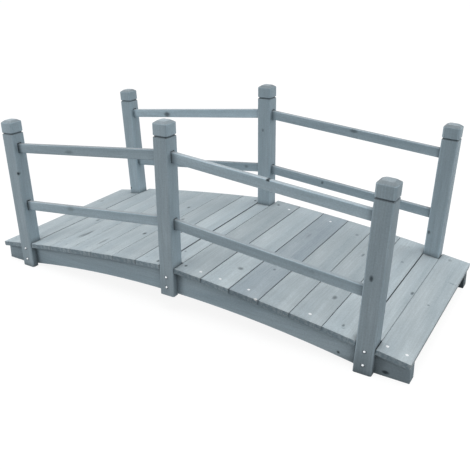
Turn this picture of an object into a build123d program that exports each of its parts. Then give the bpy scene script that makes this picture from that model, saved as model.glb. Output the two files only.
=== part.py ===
from build123d import *
import math
import os

os.makedirs("parts", exist_ok=True)

# Arched timber footbridge for a garden, in millimetres.
# X runs along the bridge, Y across it with the front side at -Y, and Z up from level ground.

# Stringers: the two arched side beams, cut from planks, with a flat foot at each end
arch_rise = 58.5
stringer_depth = 77.0
stringer_thickness = 36.0
foot_length = 93.0

# Deck: boards laid across the stringers, falling away from a level crown on a long arc.
# The wide boards between the end posts run further out at the back than the end boards. Each narrow board
# between two posts is pushed up to its neighbour on the side away from the crown, the middle one to the right.
board_length = 661.0
back_overhang = 20.0
board_width = 95.7
end_board_width = 91.8
board_thickness = 16.0
board_gap = 1.2
narrow_gap = 0.3
board_edge = 0.8
boards_per_bay = 6
crown_fall = 3.75
haunch_radius = 8000.0
end_overhang = 3.0

# Posts: square timber with rounded corners, upright at the crown and leaning outwards at the ends
post_size = 51.2
post_round = 5.0
post_proud = 4.5
post_height = 440.5
middle_post_rise = 5.0
post_side_gap = 1.0
post_end_gap = 1.0
post_lean = 3.2
leg_thickness = 22.0
leg_drop = 3.5

# Cap of each post: a little wider and rounder than the post, with a groove all round below it
# and a bevelled top with soft edges
cap_height = 34.0
cap_proud = 0.6
cap_round = 8.0
cap_bevel_width = 10.5
cap_bevel_rise = 7.0
cap_edge = 3.5
groove_width = 7.0
groove_depth = 4.0

# Rails: two a bay on each side, housed in mortises in the posts
rail_depth = 32.0
rail_thickness = 15.0
rail_round = 3.0
rail_inset = 19.5
upper_rail_height = 332.2
lower_rail_height = 124.2
rail_tenon = 12.0
mortise_end_gap = 2.0
mortise_gap = 3.0

# One distance that every cut runs past the faces it goes through
overrun = 5.0

# Places across the bridge, measured from its centre line: a post stands proud of the boards' ends
post_outer = board_length / 2 + post_proud
post_inner = post_outer - post_size
stringer_outer = post_outer - leg_thickness
stringer_inner = stringer_outer - stringer_thickness
rail_centre = post_outer - rail_inset - rail_thickness / 2

# Steps along the deck: a board and its gap, or the room of a post with a narrow board beside it
board_pitch = board_width + board_gap
end_pitch = end_board_width + board_gap
post_bay = post_size + 2 * post_side_gap
cap_size = post_size + 2 * cap_proud
narrow_reach = post_inner - post_end_gap


def fall_at(run):
    """Slope of the deck, in degrees, at a distance along it from the crown."""
    return crown_fall + math.degrees(run / haunch_radius)


def half_seats():
    """Flat seats on a stringer's top edge, from the crown to the right end.

    Each is (start, end, slope, step), with start and end as (x, z) points.
    """
    crown_top = arch_rise + stringer_depth
    point = (post_bay / 2, crown_top)
    run = post_bay / 2
    seats = [((0, crown_top), point, 0, post_bay)]
    for step in [board_pitch] * boards_per_bay + [post_bay, end_pitch]:
        slope = fall_at(run + step / 2)
        x = point[0] + step * math.cos(math.radians(slope))
        z = point[1] - step * math.sin(math.radians(slope))
        seats.append((point, (x, z), slope, step))
        point = (x, z)
        run = run + step
    return seats


seats = half_seats()
mid_seat = seats[0]
post_seat = seats[boards_per_bay + 1]
end_seat = seats[-1]
stringer_end = end_seat[1][0] - end_overhang


def seat_plane(seat, side):
    """Plane on a seat of the deck, on the right half for side 1 and the left half for side -1.

    Its X runs along the slope, its Y across the bridge and its Z square to the seat.
    """
    start, end, slope, step = seat
    x = (start[0] + end[0]) / 2
    z = (start[1] + end[1]) / 2
    if seat is mid_seat:
        x = 0
    along = math.radians(slope) * side
    return Plane(
        origin=(x * side, 0, z),
        x_dir=(math.cos(along), 0, -math.sin(along)),
        z_dir=(math.sin(along), 0, math.cos(along)),
    )


def post_plane(place):
    """Plane square to a post's axis, half way up the deck boards: place is -1, 0 or 1."""
    if place == 0:
        return Plane.XY.offset(mid_seat[0][1] + board_thickness / 2)
    middle = seat_plane(post_seat, place).offset(board_thickness / 2).origin
    lean = math.radians(post_lean) * place
    return Plane(
        origin=middle,
        x_dir=(math.cos(lean), 0, -math.sin(lean)),
        z_dir=(math.sin(lean), 0, math.cos(lean)),
    )


def rail_plane(place, height):
    """Section plane of a rail at the middle post's axis, looking towards the end post.

    Its Y points up and its X across the bridge: to +Y in the right bay, to -Y in the left.
    """
    start = post_plane(0).offset(board_thickness / 2 + height).origin
    end = post_plane(place).offset(board_thickness / 2 + height).origin
    return Plane(origin=start, x_dir=(0, place, 0), z_dir=(end - start).normalized())


def rail_span(place, height):
    """Distance along a rail between the axes of the two posts that hold it."""
    start = post_plane(0).offset(board_thickness / 2 + height).origin
    end = post_plane(place).offset(board_thickness / 2 + height).origin
    return (end - start).length


# Stringers: an outline with a seat for each board on top and an arch between two feet below
def stringer_top():
    """Corners of a stringer's top edge from the right end to the left end."""
    start, end, slope, step = end_seat
    drop = (stringer_end - start[0]) * math.tan(math.radians(slope))
    right = [(stringer_end, start[1] - drop)]
    right += [seat[0] for seat in reversed(seats[1:])]
    left = [(-x, z) for x, z in reversed(right)]
    return right + left


arch_foot = stringer_end - foot_length
for name, back_face in (("front", -stringer_inner), ("back", stringer_outer)):
    with BuildPart() as stringer:
        with BuildSketch(Plane.XZ.offset(-back_face)):
            with BuildLine():
                right_foot = [(arch_foot, 0), (stringer_end, 0)]
                left_foot = [(-stringer_end, 0), (-arch_foot, 0)]
                Polyline(*right_foot, *stringer_top(), *left_foot)
                ThreePointArc((-arch_foot, 0), (0, arch_rise), (arch_foot, 0))
            make_face()
        extrude(amount=stringer_thickness)
    stringer.part.label = f"stringer_{name}"
    export_step(stringer.part, f"parts/stringer_{name}.step")


# Deck boards: sawn boards with eased top edges, narrow where they lie between two posts
def board_seats():
    """Seat and side of each board, from the left end to the right."""
    right = [(seat, 1) for seat in seats[1:]]
    left = [(seat, -1) for seat in reversed(seats[1:])]
    return left + [(mid_seat, 1)] + right


for number, (seat, side) in enumerate(board_seats(), start=1):
    front_end = board_length / 2
    back_end = board_length / 2 + back_overhang
    push = 0
    if seat is end_seat:
        back_end = board_length / 2
    if seat is mid_seat or seat is post_seat:
        front_end = narrow_reach
        back_end = narrow_reach
        push = side * (board_gap - narrow_gap)
    with BuildPart() as board:
        with BuildSketch(seat_plane(seat, side)):
            with Locations((push, (back_end - front_end) / 2)):
                Rectangle(seat[-1] - board_gap, front_end + back_end)
        extrude(amount=board_thickness)
        chamfer(board.faces().sort_by(Axis.Z)[-1].edges(), board_edge)
    board.part.label = f"deck_board_{number:02d}"
    export_step(board.part, f"parts/deck_board_{number:02d}.step")


# Posts: a square stick with a grooved, bevelled cap, notched over the stringer below the deck
post_names = {-1: "left", 0: "middle", 1: "right"}
for side_name, side in (("front", -1), ("back", 1)):
    for place, place_name in post_names.items():
        base = post_plane(place)
        axis_plane = Plane(
            origin=base.origin + Vector(0, side * (post_outer - post_size / 2), 0),
            x_dir=base.x_dir,
            z_dir=base.z_dir,
        )
        seat = post_seat if place else mid_seat
        foot_z = 0 if place else arch_rise - leg_drop
        cap_top = board_thickness / 2 + post_height
        if place == 0:
            cap_top = cap_top + middle_post_rise
        groove_top = cap_top - cap_height
        outline = [
            (-axis_plane.origin.Z - overrun, post_size, post_round),
            (groove_top - groove_width, post_size, post_round),
            (groove_top - groove_width / 2, post_size - 2 * groove_depth, post_round),
            (groove_top, cap_size, cap_round),
            (cap_top, cap_size, cap_round),
            (cap_top + cap_bevel_rise, cap_size - 2 * cap_bevel_width, cap_round),
        ]
        with BuildPart() as post:
            for level, size, corner in outline:
                with BuildSketch(axis_plane.offset(level)) as section:
                    Rectangle(size, size)
                    fillet(section.vertices(), corner)
            loft(ruled=True)
            edge_levels = post.edges().group_by(Axis(axis_plane.origin, axis_plane.z_dir))
            fillet(edge_levels[-1] + edge_levels[-3], cap_edge)
            split(bisect_by=Plane.XY.offset(foot_z), keep=Keep.TOP)
            lap = stringer_outer - post_inner
            with BuildSketch(seat_plane(seat, place or 1)):
                with Locations((0, side * (stringer_outer - (lap + overrun) / 2))):
                    Rectangle(2 * post_size, lap + overrun)
            extrude(amount=-seat[0][1] - overrun, mode=Mode.SUBTRACT)
            for bay in ((-1, 1) if place == 0 else (place,)):
                for height in (upper_rail_height, lower_rail_height):
                    start = rail_plane(bay, height)
                    face = post_size / 2
                    far = rail_span(bay, height)
                    depth = rail_tenon + mortise_end_gap
                    first = far - face - overrun if place else face - depth
                    with BuildSketch(start.offset(first)):
                        across = bay * side * (rail_centre + mortise_gap / 2)
                        with Locations((across, (rail_depth + mortise_gap) / 2)):
                            Rectangle(rail_thickness + mortise_gap, rail_depth + mortise_gap)
                    extrude(amount=depth + overrun, mode=Mode.SUBTRACT)
        post.part.label = f"post_{side_name}_{place_name}"
        export_step(post.part, f"parts/post_{side_name}_{place_name}.step")


# Rails: rounded sticks along the slope of the deck, with both ends in the posts
for side_name, side in (("front", -1), ("back", 1)):
    for bay_name, bay in (("left", -1), ("right", 1)):
        for level_name, height in (("upper", upper_rail_height), ("lower", lower_rail_height)):
            tenon_end = post_size / 2 - rail_tenon
            with BuildPart() as rail:
                with BuildSketch(rail_plane(bay, height).offset(tenon_end)) as section:
                    with Locations((bay * side * rail_centre, rail_depth / 2)):
                        Rectangle(rail_thickness, rail_depth)
                    fillet(section.vertices(), rail_round)
                extrude(amount=rail_span(bay, height) - 2 * tenon_end)
            label = f"rail_{side_name}_{bay_name}_{level_name}"
            rail.part.label = label
            export_step(rail.part, f"parts/{label}.step")
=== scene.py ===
import math

import bmesh
import bpy
from mathutils import Matrix, Vector


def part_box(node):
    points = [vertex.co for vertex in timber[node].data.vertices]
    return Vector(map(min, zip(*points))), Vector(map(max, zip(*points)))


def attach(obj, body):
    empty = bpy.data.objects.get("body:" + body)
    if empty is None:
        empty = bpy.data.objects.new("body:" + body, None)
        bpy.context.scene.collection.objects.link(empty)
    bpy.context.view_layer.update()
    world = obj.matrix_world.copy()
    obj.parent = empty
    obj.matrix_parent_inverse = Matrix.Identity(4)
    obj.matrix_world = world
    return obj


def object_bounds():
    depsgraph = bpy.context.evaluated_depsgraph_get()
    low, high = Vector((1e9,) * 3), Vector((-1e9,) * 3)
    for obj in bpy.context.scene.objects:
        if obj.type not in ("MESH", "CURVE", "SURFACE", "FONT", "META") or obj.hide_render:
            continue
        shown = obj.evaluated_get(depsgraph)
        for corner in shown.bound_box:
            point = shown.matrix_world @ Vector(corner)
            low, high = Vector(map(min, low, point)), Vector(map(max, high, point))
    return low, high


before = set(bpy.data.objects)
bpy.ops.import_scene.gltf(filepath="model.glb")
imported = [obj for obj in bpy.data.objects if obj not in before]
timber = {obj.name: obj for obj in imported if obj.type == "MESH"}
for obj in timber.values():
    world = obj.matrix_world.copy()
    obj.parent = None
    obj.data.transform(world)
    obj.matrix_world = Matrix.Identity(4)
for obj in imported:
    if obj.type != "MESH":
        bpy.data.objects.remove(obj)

cad_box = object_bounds()


# Stringers: the two arched side beams, sawn from fir planks and dipped in a thin blue-grey stain.
# The grain runs straight along the plank, so the arch below cuts across it. Growth rings, fibres,
# knots and the open ends take up more or less of the stain, and dry darker or paler.
frame_stain = ((0.322, 0.416, 0.474, 1), (0.415, 0.508, 0.563, 1))
# A darker, warmer tint for the upper sides
upper_side_tint = (0.86, 0.76, 0.72, 1)
end_stain = (0.215, 0.285, 0.330, 1)
knot_dark = (0.026, 0.038, 0.047, 1)
raw_wood = (0.74, 0.76, 0.76, 1)
stain_roughness = 0.66
stain_specular = 0.2

# The grain's sizes: along the piece, across it and out from it
ring_width = 0.0075
ring_stretch = (22, 1, 1)
ring_waver = 7.0
ring_waver_scale = 0.28
ring_waver_roughness = 0.45
wave_step = math.tau / 20
fibre_size = (0.110, 0.0035, 0.0035)
fibre_roughness = 0.6
streak_size = (0.190, 0.020, 0.020)
streak_waver = 0.6
soak_size = (0.420, 0.075, 0.075)
ragged_scale = 130
ragged_reach = (0.006, 0.003, 0)
pore_scale = 230
grain_relief = 0.35
grain_depth = 0.0008
endless = 1000

# What each pattern is read over, and the tones that it runs between
noise_middle = (0.5, 0.5, 0.5)
noise_span = (0.30, 0.70)
late_wood_span = (0.25, 1.0)
late_wood_tones = (1.01, 0.965)
fibre_tones = (0.92, 1.065)
streak_tones = (0.955, 1.035)
pore_span = (0.32, 0.68)
pore_tones = (0.93, 1.06)
# Painted shade in corners and creases: how far it is read, how finely, and how dark it gets
corner_span = (0.25, 0.85)
corner_samples = 8
crease_shade_tone = 0.30

# Marks, from their edge to their core, and the swirl of rings round them
mark_span = (1.5, 0.35)
swirl_span = (5.0, 0.5)
swirl_turn = 9.0

# How a face has to look to count as a long edge, a slanted face, a sawn end or an upper side
edge_span = (0.08, 0.42)
off_upright_span = (0.40, 0.70)
off_level_span = (0.97, 0.90)
end_span = (0.60, 0.95)
end_patch_span = (0.38, 0.62)
end_patch_share = 0.45
upper_side_span = (0.70, 0.85)


def add_node(tree, kind, inputs, **settings):
    """Adds one shader node. An input is a plain value, or the output of another node to link."""
    node = tree.nodes.new("ShaderNode" + kind)
    for setting, value in settings.items():
        setattr(node, setting, value)
    for socket, value in inputs.items():
        if isinstance(value, bpy.types.NodeSocket):
            tree.links.new(value, node.inputs[socket])
        else:
            node.inputs[socket].default_value = value
    return node


def measured(tree, place, size, middle=(0, 0, 0)):
    """Coordinates counted from a middle point, in steps of a size each way."""
    return add_node(tree, "Mapping", {"Vector": place, "Location": middle, "Scale": size},
                    vector_type="TEXTURE").outputs["Vector"]


def noise(tree, place, scale, detail, **inputs):
    """Soft noise between 0 and 1."""
    inputs = {"Vector": place, "Scale": scale, "Detail": detail, **inputs}
    return add_node(tree, "TexNoise", inputs).outputs["Fac"]


def joined(tree, operation, first, second=0.0):
    """Joins two values by a sum, a product or the like."""
    return add_node(tree, "Math", {0: first, 1: second}, operation=operation).outputs["Value"]


def ramp(tree, value, span, levels=(0.0, 1.0), ease="LINEAR"):
    """Runs from one level to the other while a value runs over a span, and stays level past its ends."""
    inputs = {"Value": value, "From Min": span[0], "From Max": span[1], "To Min": levels[0], "To Max": levels[1]}
    return add_node(tree, "MapRange", inputs, interpolation_type=ease).outputs["Result"]


def toned(tree, shade, value, span, tones):
    """A shade times a tone that follows a value over a span."""
    return joined(tree, "MULTIPLY", shade, ramp(tree, value, span, tones))


def looking(tree, normal, way):
    """How far a face looks along a way: 1 straight along or against it, and 0 square to it."""
    share = add_node(tree, "VectorMath", {0: normal, 1: way}, operation="DOT_PRODUCT").outputs["Value"]
    return joined(tree, "ABSOLUTE", share)


def blend(tree, share, first, second, how="MIX"):
    """Blends one colour into another by the share of the second."""
    inputs = {0: share, 6: first, 7: second}
    return add_node(tree, "Mix", inputs, data_type="RGBA", blend_type=how).outputs[2]


def stain_node(name, stain, along, across, heart, tone=1.0, end_depth=1.0, marks=(), chips=(), pale=(),
               upper_tint=0.0, edge_highlight=0.0, slant_shade=1.0, corner_reach=0.030):
    """Gives a CAD node its own stained fir, with the grain along one way and its width across another.

    stain is its deepest and its palest colour, and heart where the middle of the trunk lay, across and out
    from the middle of the piece. end_depth says how far the sawn ends have darkened. A mark is a dark spot or
    patch such as a knot, a streak, a sunk nail, a dark joint or painted shade, placed from the middle of the
    piece: (along, across, half length, half width, depth of its dark). It goes right through, unless its place
    out from the middle and its half depth follow. A chip is a broken spot of raw wood: its place along, across
    and out, and its half size. pale lists where a paler stretch starts along the piece, where it reaches its full
    tone, and that tone. The last four arguments say how far its upper side is darkened and warmed, how bright a
    painted highlight on its long edges is, how deep the painted shade is on faces that slant between upright and
    level, and how far painted shade spreads from where pieces meet.
    """
    material = bpy.data.materials.new("stained_" + name)
    material.use_nodes = True
    tree = material.node_tree
    shader = tree.nodes["Principled BSDF"]

    low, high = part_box(name)
    out = along.cross(across)
    lie = Matrix((along, across, out)).transposed().to_euler()
    coordinates = add_node(tree, "TexCoord", {})
    normal = coordinates.outputs["Normal"]
    place = add_node(tree, "Mapping", {"Vector": coordinates.outputs["Object"], "Location": (low + high) / 2,
                                       "Rotation": lie}, vector_type="TEXTURE").outputs["Vector"]

    # Marks: a dark core with a ragged edge, and a swirl that the rings bend round
    ragged = add_node(tree, "TexNoise", {"Vector": place, "Scale": ragged_scale, "Detail": 2})
    drift = add_node(tree, "VectorMath", {0: ragged.outputs["Color"], 1: noise_middle}, operation="SUBTRACT")
    ragged_place = add_node(tree, "VectorMath", {0: drift.outputs["Vector"], 1: ragged_reach, 2: place},
                            operation="MULTIPLY_ADD").outputs["Vector"]
    core = 0.0
    swirl = 0.0
    for mark_along, mark_across, half_length, half_width, depth, *limits in marks:
        mark_out, half_depth = limits or (0, endless)
        reach = measured(tree, ragged_place, (half_length, half_width, half_depth),
                         (mark_along, mark_across, mark_out))
        distance = add_node(tree, "VectorMath", {0: reach}, operation="LENGTH").outputs["Value"]
        core = joined(tree, "MAXIMUM", ramp(tree, distance, mark_span, (0.0, depth), "SMOOTHSTEP"), core)
        swirl = joined(tree, "ADD", ramp(tree, distance, swirl_span, (0.0, swirl_turn), "SMOOTHERSTEP"), swirl)

    # Rings: pale early wood that darkens outwards to a hard edge of late wood
    trunk = measured(tree, place, ring_stretch, (0, *heart))
    rings = add_node(tree, "TexWave", {"Vector": trunk, "Scale": wave_step / ring_width, "Distortion": ring_waver,
                                       "Detail": 2.0, "Detail Scale": ring_waver_scale,
                                       "Detail Roughness": ring_waver_roughness, "Phase Offset": swirl},
                     wave_type="RINGS", rings_direction="X", wave_profile="SAW")
    grain = toned(tree, tone, rings.outputs["Fac"], late_wood_span, late_wood_tones)

    # Fibres and streaks: fine and broad lines along the piece
    fibre = noise(tree, measured(tree, place, fibre_size), scale=1, detail=4, Roughness=fibre_roughness)
    grain = toned(tree, grain, fibre, noise_span, fibre_tones)
    streak = noise(tree, measured(tree, place, streak_size), scale=1, detail=3, Distortion=streak_waver)
    grain = toned(tree, grain, streak, noise_span, streak_tones)

    # Pores: a fine mottle where the stain stood on the sawn face
    shade = toned(tree, grain, noise(tree, place, pore_scale, detail=2), pore_span, pore_tones)

    # Corners: painted shade, darker where pieces meet and in creases
    corner = add_node(tree, "AmbientOcclusion", {"Distance": corner_reach}, samples=corner_samples)
    shade = toned(tree, shade, corner.outputs["AO"], corner_span, (crease_shade_tone, 1.0))

    # Paler stretches along the piece
    level = add_node(tree, "SeparateXYZ", {"Vector": place}).outputs["X"]
    for start, full, full_tone in pale:
        shade = toned(tree, shade, level, (start, full), (1.0, full_tone))

    # Long edges: rounded, with a painted highlight where two faces meet
    on_edge = joined(tree, "MULTIPLY", looking(tree, normal, across), looking(tree, normal, out))
    shade = toned(tree, shade, on_edge, edge_span, (1.0, 1.0 + edge_highlight))

    # Slanted faces: painted shade, darker than level ones
    facing_up = add_node(tree, "SeparateXYZ", {"Vector": normal}).outputs["Z"]
    off_upright = ramp(tree, facing_up, off_upright_span)
    off_level = ramp(tree, facing_up, off_level_span)
    slanted = joined(tree, "MULTIPLY", off_upright, off_level)
    shade = toned(tree, shade, slanted, (0.0, 1.0), (1.0, slant_shade))

    # Sawn ends: open pores that drink the stain, more in some patches than in others
    end_patch = ramp(tree, ragged.outputs["Fac"], end_patch_span, (end_patch_share * end_depth, end_depth))
    end_part = ramp(tree, looking(tree, normal, along), end_span, (0.0, end_patch))

    # Stain: broad clouds where the timber took more or less of it
    soak = noise(tree, measured(tree, place, soak_size), scale=1, detail=3)
    cloudy = blend(tree, ramp(tree, soak, noise_span), *stain)
    soaked = blend(tree, end_part, cloudy, end_stain)
    stained = add_node(tree, "VectorMath", {0: soaked, "Scale": shade}, operation="SCALE").outputs["Vector"]
    # Upper sides: a darker, warmer tint
    upper_share = ramp(tree, facing_up, upper_side_span, (0.0, upper_tint))
    greyed = blend(tree, upper_share, stained, upper_side_tint, "MULTIPLY")
    colour = blend(tree, core, greyed, knot_dark)
    for *chip_place, half_size in chips:
        distance = add_node(tree, "VectorMath", {0: ragged_place, 1: chip_place}, operation="DISTANCE")
        broken = ramp(tree, distance.outputs["Value"], (half_size, half_size / 2))
        colour = blend(tree, broken, colour, raw_wood)

    relief = add_node(tree, "Bump", {"Height": grain, "Strength": grain_relief, "Distance": grain_depth})
    tree.links.new(colour, shader.inputs["Base Color"])
    tree.links.new(relief.outputs["Normal"], shader.inputs["Normal"])
    shader.inputs["Roughness"].default_value = stain_roughness
    shader.inputs["Specular IOR Level"].default_value = stain_specular
    timber[name].material_slots[0].material = material


along_bridge = Vector((1, 0, 0))
across_bridge = Vector((0, 1, 0))
upright = Vector((0, 0, 1))
# Painted shade reaches further on the stringers, below the overhang of the deck
stringer_shade_reach = 0.060
stain_node("stringer_front", frame_stain, along_bridge, upright, heart=(0.020, -0.045), tone=1.28,
           corner_reach=stringer_shade_reach,
           marks=[(0.684, -0.055, 0.010, 0.006, 0.95),
                  (0.554, -0.039, 0.005, 0.004, 0.9),
                  (0.720, -0.030, 0.070, 0.040, 0.26)])
stain_node("stringer_back", frame_stain, along_bridge, upright, heart=(-0.015, 0.050),
           corner_reach=stringer_shade_reach,
           marks=[(-0.420, -0.020, 0.010, 0.007, 0.8),
                  (0.260, 0.015, 0.008, 0.006, 0.7),
                  # The last mark is painted shade: it darkens the right end of this stringer, its inner face and
                  # its end, below the deck
                  (0.745, -0.040, 0.070, 0.120, 0.72, 0.010, 0.100)])


# Deck boards: planed fir boards laid across the stringers, cut from many trunks, so their tone and knots
# differ from one to the next. The three narrow ones fill the room between opposite posts.
# A few knots are placed as they lie in the photograph; the rest are given one by one.
board_count = 17
deck_stain = ((0.364, 0.432, 0.471, 1), (0.468, 0.530, 0.558, 1))
blue_stain = ((0.354, 0.430, 0.484, 1), (0.458, 0.528, 0.573, 1))
blue_boards = (12,)
board_tones = {2: 0.95, 4: 1.03, 5: 0.99, 6: 0.97, 7: 0.92, 8: 1.05, 9: 1.02, 10: 0.86, 11: 0.98,
               12: 0.765, 13: 0.87, 14: 0.865, 15: 0.97, 16: 0.92, 17: 0.88}
board_marks = {
    1: [(0.160, -0.010, 0.008, 0.006, 0.6)],
    3: [(-0.060, 0.024, 0.009, 0.006, 0.6)],
    4: [(-0.195, 0.002, 0.036, 0.007, 0.6), (-0.214, -0.008, 0.022, 0.005, 0.5)],
    5: [(-0.238, 0.023, 0.028, 0.006, 0.42), (0.205, -0.018, 0.008, 0.006, 0.5)],
    6: [(-0.130, 0.023, 0.009, 0.0065, 0.8), (0.158, 0.010, 0.009, 0.006, 0.7)],
    7: [(0.035, -0.028, 0.009, 0.006, 0.55)],
    # On boards 8 and 10 the dark spots near both stringers are painted shade, for the holes of the punched-in
    # nails
    8: [(0.309, 0.027, 0.0055, 0.0045, 1.0), (-0.309, 0.027, 0.0055, 0.0045, 1.0)],
    9: [(-0.211, -0.014, 0.0050, 0.0035, 0.5)],
    10: [(-0.294, -0.029, 0.0055, 0.0045, 1.0), (0.311, -0.024, 0.0055, 0.0045, 1.0)],
    11: [(-0.205, 0.016, 0.008, 0.0085, 0.6)],
    12: [(-0.145, 0.004, 0.005, 0.0040, 0.55), (0.140, -0.012, 0.020, 0.004, 0.25)],
    13: [(0.258, 0.020, 0.007, 0.0050, 0.4)],
    14: [(-0.174, 0.021, 0.010, 0.0065, 0.62), (0.130, -0.007, 0.012, 0.004, 0.5)],
    15: [(-0.288, -0.003, 0.008, 0.0035, 0.6), (0.174, 0.013, 0.007, 0.0050, 0.35)],
    16: [(0.006, 0.021, 0.010, 0.0045, 0.7)],
    17: [(-0.024, 0.005, 0.005, 0.0040, 0.5), (0.150, 0.032, 0.004, 0.012, 0.30),
         (0.300, -0.012, 0.008, 0.006, 0.35)],
}
board_chips = {12: [(-0.330, 0.040, -0.004, 0.006)]}

# Painted light: both ends of each board are painted paler. The joints between boards are darker, by stain
# gathered there and by painted shade of the gaps, more in some than in others: each joint is named by the
# board on its left.
painted_bright_ends = [(-0.19, -0.30, 1.15), (0.20, 0.33, 1.14)]
joint_stain_and_shade = {2: 0.6, 7: 0.35, 8: 0.65, 10: 0.4, 11: 0.4, 12: 0.3, 13: 0.1, 14: 0.08, 15: 0.3, 16: 0.12}
joint_reach = 0.0011
level_face = 0.9
board_heart_depth = 0.034
board_wander = {"sway": 0.030, "sway_step": 2.4, "stray": 0.010, "stray_step": 1.7}


def wandered(number, sway, sway_step, stray, stray_step):
    """How far the heart of a trunk has wandered across a piece and out from it, from one piece to the next."""
    return sway * math.sin(sway_step * number), stray * math.cos(stray_step * number)


for number in range(1, board_count + 1):
    board = f"deck_board_{number:02d}"
    # The heart lies above a board or below it by turns
    heart_side, heart_stray = wandered(number, **board_wander)
    heart_depth = (board_heart_depth + heart_stray) * (1 if number % 3 else -1)
    low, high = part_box(board)
    middle = (low + high) / 2
    marks = [(along - middle.y, *rest) for along, *rest in board_marks.get(number, ())]
    chips = [(along - middle.y, *rest) for along, *rest in board_chips.get(number, ())]
    pale_ends = [(start - middle.y, full - middle.y, full_tone) for start, full, full_tone in painted_bright_ends]
    mesh = timber[board].data
    flat_top = [face for face in mesh.polygons if face.normal.z > level_face]
    top_edges = [mesh.vertices[corner].co.x for face in flat_top for corner in face.vertices]
    # Dark joints along both long edges: stain gathered there, and painted shade of the gaps between boards
    marks.append((0, min(top_edges) - middle.x, endless, joint_reach, joint_stain_and_shade.get(number - 1, 0)))
    marks.append((0, max(top_edges) - middle.x, endless, joint_reach, joint_stain_and_shade.get(number, 0)))
    stain = blue_stain if number in blue_boards else deck_stain
    stain_node(board, stain, across_bridge, along_bridge, heart=(heart_side, heart_depth),
               tone=board_tones.get(number, 1.0), marks=marks, chips=chips, pale=pale_ends)


# Nails: zinc-coated round-headed nails driven through the boards into both stringers, one to a board and two
# where a board lies beside a post or at an end, and none in the narrow boards. The heads that glint are painted
# near white as a painted glint, the rest the tone of the stain, and those beside the middle posts are punched
# in, their holes painted dark on the boards as painted shade.
nail_line = 0.297
nail_edge_distance = 0.021
nail_radius = 0.0046
nail_rise = 0.0011
nail_sink = 0.0010
nail_dome = [(0, 1), (0.55, 0.85), (0.9, 0.35), (1, 0)]
nail_neck = 0.9
look_from = 1.0
head_steps = 16
weld_distance = 1e-6
spangle_scale = 900
doubly_nailed = (1, 8, 10, 17)
punched_on_right = 8
punched_on_left = 10
narrow_boards = (2, 9, 16)
glinting_nails = {-nail_line: (10, 11, 12, 14, 17), nail_line: (10, 12)}


def turned_head(radius, rise, sink, dome, neck=1.0):
    """A fastener's head, spun about Z.

    dome lists shares of the radius and of the rise, from the top down to the timber. Below that the head
    narrows to a share of its radius, the neck, where it is sunk in the timber.
    """
    profile = [(radius * out, rise * up) for out, up in dome] + [(radius * neck, -sink), (0, -sink)]
    head = bmesh.new()
    points = [head.verts.new((out, 0, height)) for out, height in profile]
    edges = [head.edges.new(pair) for pair in zip(points, points[1:])]
    bmesh.ops.spin(head, geom=points + edges, cent=(0, 0, 0), axis=(0, 0, 1), angle=math.tau,
                   steps=head_steps, use_merge=True)
    bmesh.ops.remove_doubles(head, verts=head.verts, dist=weld_distance)
    bmesh.ops.recalc_face_normals(head, faces=head.faces)
    mesh = bpy.data.meshes.new("head")
    head.to_mesh(mesh)
    head.free()
    return mesh


def drive_heads(name, head, seats, material):
    """One piece with a head on each seat, a seat being a point on the timber and the way its face looks."""
    heads = bmesh.new()
    for point, facing in seats:
        before = len(heads.verts)
        heads.from_mesh(head)
        heads.verts.ensure_lookup_table()
        pose = Matrix.Translation(point) @ facing.to_track_quat("Z", "Y").to_matrix().to_4x4()
        bmesh.ops.transform(heads, matrix=pose, verts=heads.verts[before:])
    for face in heads.faces:
        face.smooth = True
    mesh = bpy.data.meshes.new(name)
    heads.to_mesh(mesh)
    heads.free()
    mesh.materials.append(material)
    piece = bpy.data.objects.new(name, mesh)
    bpy.context.scene.collection.objects.link(piece)
    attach(piece, "root")


def coat_metal(name, dark, pale, metallic, roughness):
    """A thin coat on a fastener, mottled between two colours."""
    material = bpy.data.materials.new(name)
    material.use_nodes = True
    tree = material.node_tree
    coordinates = add_node(tree, "TexCoord", {})
    spangle = noise(tree, coordinates.outputs["Object"], spangle_scale, detail=3)
    shader = tree.nodes["Principled BSDF"]
    tree.links.new(blend(tree, spangle, dark, pale), shader.inputs["Base Color"])
    shader.inputs["Metallic"].default_value = metallic
    shader.inputs["Roughness"].default_value = roughness
    return material


# Painted glint: nail heads that glint are painted near white; the others are painted the tone of the stain
glint_paint = coat_metal("glint_paint", dark=(0.74, 0.78, 0.81, 1), pale=(0.97, 0.98, 1.0, 1),
                        metallic=0.25, roughness=0.45)
no_glint_paint = coat_metal("no_glint_paint", dark=(0.33, 0.40, 0.44, 1), pale=(0.43, 0.50, 0.54, 1),
                          metallic=0.0, roughness=0.6)

bpy.context.view_layer.update()
nail_seats = {glint_paint: [], no_glint_paint: []}
for number in range(1, board_count + 1):
    if number in narrow_boards:
        continue
    board = f"deck_board_{number:02d}"
    low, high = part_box(board)
    places = [(low.x + high.x) / 2]
    if number in doubly_nailed:
        places = [low.x + nail_edge_distance, high.x - nail_edge_distance]
    if number == punched_on_right:
        places = places[:1]
    if number == punched_on_left:
        places = places[1:]
    for x in places:
        for y, bright_boards in glinting_nails.items():
            found, point, facing, face = timber[board].ray_cast((x, y, high.z + look_from), -upright)
            nail_seats[glint_paint if number in bright_boards else no_glint_paint].append((point, facing))
nail_head = turned_head(nail_radius, nail_rise, nail_sink, nail_dome, nail_neck)
for coat, seats in nail_seats.items():
    drive_heads("deck_nails_" + coat.name, nail_head, seats, coat)


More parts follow.
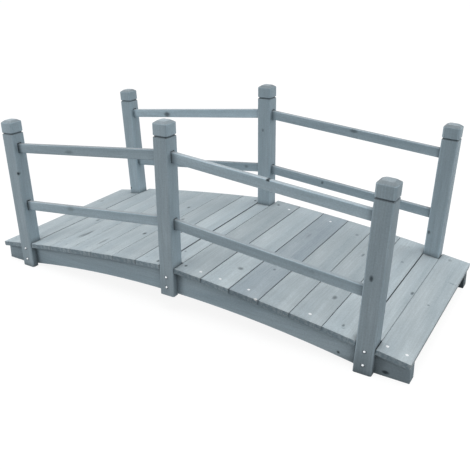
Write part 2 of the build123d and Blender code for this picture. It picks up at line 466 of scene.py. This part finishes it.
# Posts: square fir sticks with rounded corners, grooved and bevelled at the top, notched over the stringers.
# The grain follows each post, so it leans with the end ones. Their tops are end grain. The bevels are
# darker by painted shade, the caps of the front posts paler by painted light, and the long edges carry a
# painted highlight, most on the right-hand posts.
middle_low, middle_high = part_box("post_front_middle")
end_low, end_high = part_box("post_front_right")
post_size = middle_high.x - middle_low.x
post_lean = math.atan((end_high.x - end_low.x - post_size) / (end_high.z - end_low.z))
lean_of = {"left": -post_lean, "middle": 0.0, "right": post_lean}
post_tones = {"front_left": 1.07, "front_middle": 1.04, "front_right": 0.93,
              "back_left": 1.08, "back_middle": 1.0, "back_right": 0.95}
# Painted light: the caps of the front posts are painted paler
cap_light_tones = {"front_left": 1.12, "front_middle": 1.16, "front_right": 1.04,
             "back_left": 1.0, "back_middle": 1.0, "back_right": 1.0}
cap_length = 0.043
cap_blend = 0.004
# Painted shade on the bevels of the post tops
bevel_shade = 0.75
post_upper_tint = 0.6
# Painted highlight on the long edges, brightest on the right-hand posts
post_edge_highlight = {"left": 0.14, "middle": 0.14, "right": 0.36}
post_wander = {"sway": 0.020, "sway_step": 2.1, "stray": 0.030, "stray_step": 1.3}
post_marks = {
    "front_left": [(0.083, 0.0235, 0.006, 0.0045, 0.95, -0.0256, 0.010)],
    # The wide marks low on the front middle and front right posts are painted shade, darker on the legs below the
    # deck
    "front_middle": [(-0.245, 0, 0.050, 0.060, 0.08)],
    "front_right": [(0.013, -0.006, 0.009, 0.0050, 0.82), (-0.266, 0, 0.060, 0.060, 0.28)],
    "back_left": [(-0.160, -0.020, 0.006, 0.0040, 0.8)],
    "back_middle": [(0.112, -0.003, 0.006, 0.0045, 0.5)],
    "back_right": [(-0.099, -0.018, 0.006, 0.0040, 0.7)],
}
for number, (post, tone) in enumerate(post_tones.items()):
    place = post.split("_")[1]
    lean = lean_of[place]
    post_up = Vector((math.sin(lean), 0, math.cos(lean)))
    post_across = Vector((math.cos(lean), 0, -math.sin(lean)))
    low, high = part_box("post_" + post)
    cap_start = (high.z - low.z) / 2 - cap_length
    painted_light_cap = [(cap_start, cap_start + cap_blend, cap_light_tones[post])]
    stain_node("post_" + post, frame_stain, post_up, post_across, heart=wandered(number, **post_wander),
               tone=tone, end_depth=0.0, marks=post_marks[post], pale=painted_light_cap, upper_tint=post_upper_tint,
               edge_highlight=post_edge_highlight[place], slant_shade=bevel_shade)


# Bolts: two zinc-plated dome-headed bolts through the leg of each post into the stringer behind it, each on a
# washer painted dark as painted shadow round the head. They sit on the post's centre line, one above the other,
# a little proud of its face.
bolt_radius = 0.0038
bolt_rise = 0.0036
bolt_sink = 0.0010
bolt_dome = [(0, 1), (0.45, 0.90), (0.80, 0.55), (0.97, 0.15), (1, 0)]
washer_radius = 0.0062
washer_rise = 0.0009
washer_dome = [(0, 1), (0.92, 1), (1, 0)]
bolt_heights = {"left": (0.0283, 0.0696), "middle": (0.0837, 0.1176), "right": (0.0283, 0.0696)}
bolt_seats = []
for side, outward in (("front", -across_bridge), ("back", across_bridge)):
    for place, heights in bolt_heights.items():
        post = f"post_{side}_{place}"
        low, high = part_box(post)
        foot_x = {"left": high.x - post_size / 2, "middle": 0.0, "right": low.x + post_size / 2}[place]
        for height in heights:
            x = foot_x + height * math.tan(lean_of[place])
            start = Vector((x, 0, height)) + look_from * outward
            found, point, facing, face = timber[post].ray_cast(start, -outward)
            bolt_seats.append((point, facing))
bolt_head = turned_head(bolt_radius, bolt_rise, bolt_sink, bolt_dome)
washer = turned_head(washer_radius, washer_rise, bolt_sink, washer_dome)
bright_zinc = coat_metal("bright_zinc", dark=(0.66, 0.70, 0.73, 1), pale=(0.90, 0.92, 0.94, 1),
                         metallic=1.0, roughness=0.30)
# Painted shadow: the washers are painted dark, for the shadow round each bolt head
washer_shadow_paint = coat_metal("washer_shadow_paint", dark=(0.13, 0.16, 0.18, 1), pale=(0.20, 0.24, 0.26, 1),
                       metallic=0.3, roughness=0.55)
drive_heads("bolt_heads", bolt_head, bolt_seats, bright_zinc)
drive_heads("bolt_washers", washer, bolt_seats, washer_shadow_paint)


# Rails: slim rounded fir sticks, two to a bay on each side, pushed into mortises in the posts.
# They fall with the deck from the middle post, and their grain runs along them. Their upper sides are
# darker and warmer, and the edges of the right-hand ones carry a painted highlight.
rail_depth = 0.032
rail_marks = {
    "back_left_upper": [(-0.126, -0.004, 0.014, 0.0100, 0.72)],
    "back_right_upper": [(0.009, 0.009, 0.014, 0.0060, 0.55)],
    "back_right_lower": [(-0.092, 0.004, 0.005, 0.0060, 0.6)],
    "back_left_lower": [(0.240, 0.003, 0.008, 0.0060, 0.4)],
    "front_right_upper": [(0.009, 0.0145, 0.0056, 0.0036, 1.0)],
    "front_left_lower": [(-0.083, 0.006, 0.016, 0.0080, 0.30)],
    "front_left_upper": [(-0.060, -0.004, 0.018, 0.0060, 0.35)],
    "front_right_lower": [(0.150, 0.004, 0.008, 0.0050, 0.15)],
}
rail_tones = {"back_left_upper": 1.36, "back_right_upper": 1.04, "front_right_upper": 1.33,
              "front_left_lower": 1.28, "front_left_upper": 1.10, "front_right_lower": 1.11}
rail_upper_tint = {"left": 1.0, "right": 0.75}
# Painted highlight on the long edges of the right-hand rails
rail_edge_highlight = {"left": 0.0, "right": 0.15}
rail_wander = {"sway": 0.026, "sway_step": 1.9, "stray": 0.030, "stray_step": 2.3}
for number, (rail, marks) in enumerate(rail_marks.items()):
    low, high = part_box("rail_" + rail)
    fall = math.atan((high.z - low.z - rail_depth) / (high.x - low.x))
    bay = rail.split("_")[1]
    if bay == "left":
        fall = -fall
    rail_along = Vector((math.cos(fall), 0, -math.sin(fall)))
    rail_up = Vector((math.sin(fall), 0, math.cos(fall)))
    stain_node("rail_" + rail, frame_stain, rail_along, rail_up, heart=wandered(number, **rail_wander),
               tone=rail_tones.get(rail, 1.0), marks=marks, upper_tint=rail_upper_tint[bay], edge_highlight=rail_edge_highlight[bay])


# Studio: a plain white floor that keeps the soft shadow, a wide soft light from above, soft lights at both
# ends of the front and past the right end, and a camera where the photograph was taken from.
white = (1, 1, 1, 1)
floor_size = 120.0
floor_colour = (0.15, 0.15, 0.15, 1)
floor_glow = 0.89
horizon_light = 0.06
zenith_light = 4.2
zenith_power = 8.0


def seen_as_background(tree):
    """1 for a ray from the camera or off a shiny or clear surface, which sees plain white, and 0 for the rest."""
    path = add_node(tree, "LightPath", {})
    seen = path.outputs["Is Camera Ray"]
    for ray in ("Is Glossy Ray", "Is Transmission Ray"):
        seen = joined(tree, "MAXIMUM", seen, path.outputs[ray])
    return seen


floor_bm = bmesh.new()
bmesh.ops.create_grid(floor_bm, x_segments=1, y_segments=1, size=floor_size / 2)
floor_mesh = bpy.data.meshes.new("floor")
floor_bm.to_mesh(floor_mesh)
floor_bm.free()
floor = bpy.data.objects.new("floor", floor_mesh)
bpy.context.scene.collection.objects.link(floor)
floor_paint = bpy.data.materials.new("floor_paint")
floor_paint.use_nodes = True
floor_tree = floor_paint.node_tree
floor_shader = floor_tree.nodes["Principled BSDF"]
floor_shader.inputs["Base Color"].default_value = floor_colour
floor_shader.inputs["Roughness"].default_value = 1.0
floor_shader.inputs["Specular IOR Level"].default_value = 0.0
floor_shader.inputs["Emission Color"].default_value = white
floor_lift = joined(floor_tree, "MULTIPLY", seen_as_background(floor_tree), floor_glow)
floor_tree.links.new(floor_lift, floor_shader.inputs["Emission Strength"])
floor_mesh.materials.append(floor_paint)

world = bpy.data.worlds.new("studio")
world.use_nodes = True
bpy.context.scene.world = world
world_tree = world.node_tree
sky_way = add_node(world_tree, "TexCoord", {})
sky_axes = add_node(world_tree, "SeparateXYZ", {"Vector": sky_way.outputs["Generated"]})
sky_height = joined(world_tree, "MAXIMUM", sky_axes.outputs["Z"], 0.0)
sky_fall = joined(world_tree, "POWER", sky_height, zenith_power)
sky_light = ramp(world_tree, sky_fall, (0.0, 1.0), (horizon_light, zenith_light))
sky_seen = add_node(world_tree, "Mix", {0: seen_as_background(world_tree), 2: sky_light, 3: 1.0})
sky_shade = world_tree.nodes["Background"]
sky_shade.inputs["Color"].default_value = white
world_tree.links.new(sky_seen.outputs[0], sky_shade.inputs["Strength"])

bridge_middle = (cad_box[0] + cad_box[1]) / 2
soft_light_size = 1.5
soft_lights = {
    "left_light": (Vector((-2.2, -2.4, 1.2)), 25.0),
    "right_light": (Vector((1.65, 1.35, 0.8)), 13.0),
    "front_light": (Vector((2.3, -2.0, 1.4)), 14.0),
}
for light_name, (light_place, light_power) in soft_lights.items():
    lamp = bpy.data.lights.new(light_name, "AREA")
    lamp.size = soft_light_size
    lamp.energy = light_power
    light = bpy.data.objects.new(light_name, lamp)
    light.location = light_place
    light.rotation_euler = (bridge_middle - light_place).to_track_quat("-Z", "Y").to_euler()
    light.visible_camera = False
    bpy.context.scene.collection.objects.link(light)

# The photograph's camera: its place, the way it looks, its slight roll, and the part of its frame that was kept
camera_place = Vector((1.0831, -1.7158, 1.0146))
camera_azimuth = math.radians(33.22)
camera_elevation = math.radians(19.18)
camera_roll = math.radians(-1.28)
camera_sensor = 36.0
camera_lens = 48.74
camera_shift = (0.0466, -0.1022)
camera = bpy.data.cameras.new("photo_camera")
camera.sensor_width = camera_sensor
camera.lens = camera_lens
camera.shift_x, camera.shift_y = camera_shift
camera_object = bpy.data.objects.new("photo_camera", camera)
camera_object.matrix_world = (Matrix.Translation(camera_place) @ Matrix.Rotation(camera_azimuth, 4, "Z")
                              @ Matrix.Rotation(math.pi / 2 - camera_elevation, 4, "X")
                              @ Matrix.Rotation(camera_roll, 4, "Z"))
bpy.context.scene.collection.objects.link(camera_object)
bpy.context.scene.camera = camera_object
bpy.context.scene.view_settings.view_transform = "Standard"

bpy.context.view_layer.update()
